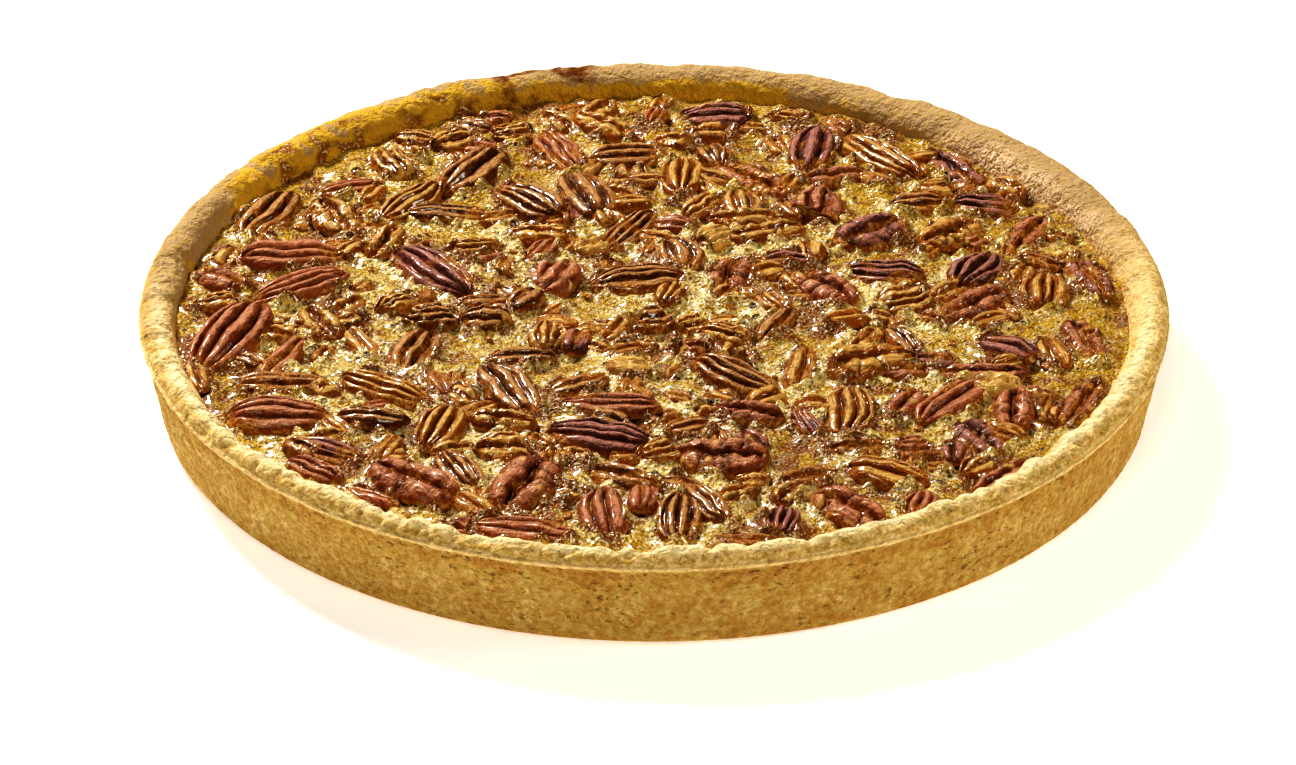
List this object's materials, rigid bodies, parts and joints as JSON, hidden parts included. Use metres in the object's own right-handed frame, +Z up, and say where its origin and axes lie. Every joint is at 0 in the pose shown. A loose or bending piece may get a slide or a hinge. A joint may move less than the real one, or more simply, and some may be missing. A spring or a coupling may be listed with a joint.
{
  "type": "pecan pie",
  "caption": "Whole round pecan pie: straight-sided shortcrust shell with an uneven pressed rim, baked custard filling and pecan halves half sunk in it.",
  "frame": {"origin": "centre of the flat base's underside", "axes": "+Z up out of the filling, -Y towards the front; the pie stands on its base"},
  "size_m": [0.28, 0.28, 0.0313],
  "materials": {
    "crust": "pale golden baked shortcrust, sandy and matt",
    "filling": "foamy amber-yellow baked custard with a glossy sugar skin",
    "pecan_glazed": "orange-brown pecan under amber glaze",
    "pecan_brown": "dark brown pecan, glossy",
    "pecan_red": "red-brown pecan, thin dry glaze",
    "pecan_purple": "dark purple-brown pecan, dry"
  },
  "bodies": {
    "root": {"crust": "crust", "filling": "filling", "pecan_back_01": "pecan_brown", "pecan_back_02": "pecan_red", "pecan_back_03": "pecan_red", "pecan_back_04": "pecan_brown", "pecan_back_05": "pecan_red", "pecan_back_06": "pecan_brown", "pecan_back_07": "pecan_brown", "pecan_back_08": "pecan_brown", "pecan_back_09": "pecan_glazed", "pecan_back_11": "pecan_purple", "pecan_back_12": "pecan_brown", "pecan_back_13": "pecan_brown", "pecan_back_14": "pecan_purple", "pecan_back_15": "pecan_glazed", "pecan_back_16": "pecan_purple", "pecan_back_18": "pecan_glazed", "pecan_back_20": "pecan_purple", "pecan_back_25": "pecan_purple", "pecan_back_26": "pecan_purple", "pecan_back_27": "pecan_glazed", "pecan_back_32": "pecan_red", "pecan_back_33": "pecan_brown", "pecan_back_34": "pecan_red", "pecan_back_35": "pecan_purple", "pecan_back_36": "pecan_brown", "pecan_back_37": "pecan_brown", "pecan_back_38": "pecan_glazed", "pecan_back_39": "pecan_red", "pecan_back_40": "pecan_purple", "pecan_back_41": "pecan_glazed", "pecan_back_44": "pecan_red", "pecan_back_45": "pecan_red", "pecan_back_46": "pecan_brown", "pecan_back_48": "pecan_glazed", "pecan_back_50": "pecan_red", "pecan_back_51": "pecan_purple", "pecan_back_56": "pecan_glazed", "pecan_back_57": "pecan_brown", "pecan_face_10": "pecan_glazed", "pecan_face_17": "pecan_red", "pecan_face_19": "pecan_purple", "pecan_face_21": "pecan_red", "pecan_face_22": "pecan_glazed", "pecan_face_23": "pecan_purple", "pecan_face_24": "pecan_glazed", "pecan_face_28": "pecan_purple", "pecan_face_29": "pecan_red", "pecan_face_30": "pecan_red", "pecan_face_31": "pecan_red", "pecan_face_42": "pecan_red", "pecan_face_43": "pecan_red", "pecan_face_47": "pecan_glazed", "pecan_face_49": "pecan_red", "pecan_face_52": "pecan_red", "pecan_face_53": "pecan_red", "pecan_face_54": "pecan_purple", "pecan_face_55": "pecan_red", "pecan_face_58": "pecan_red"}
  },
  "joints": []
}
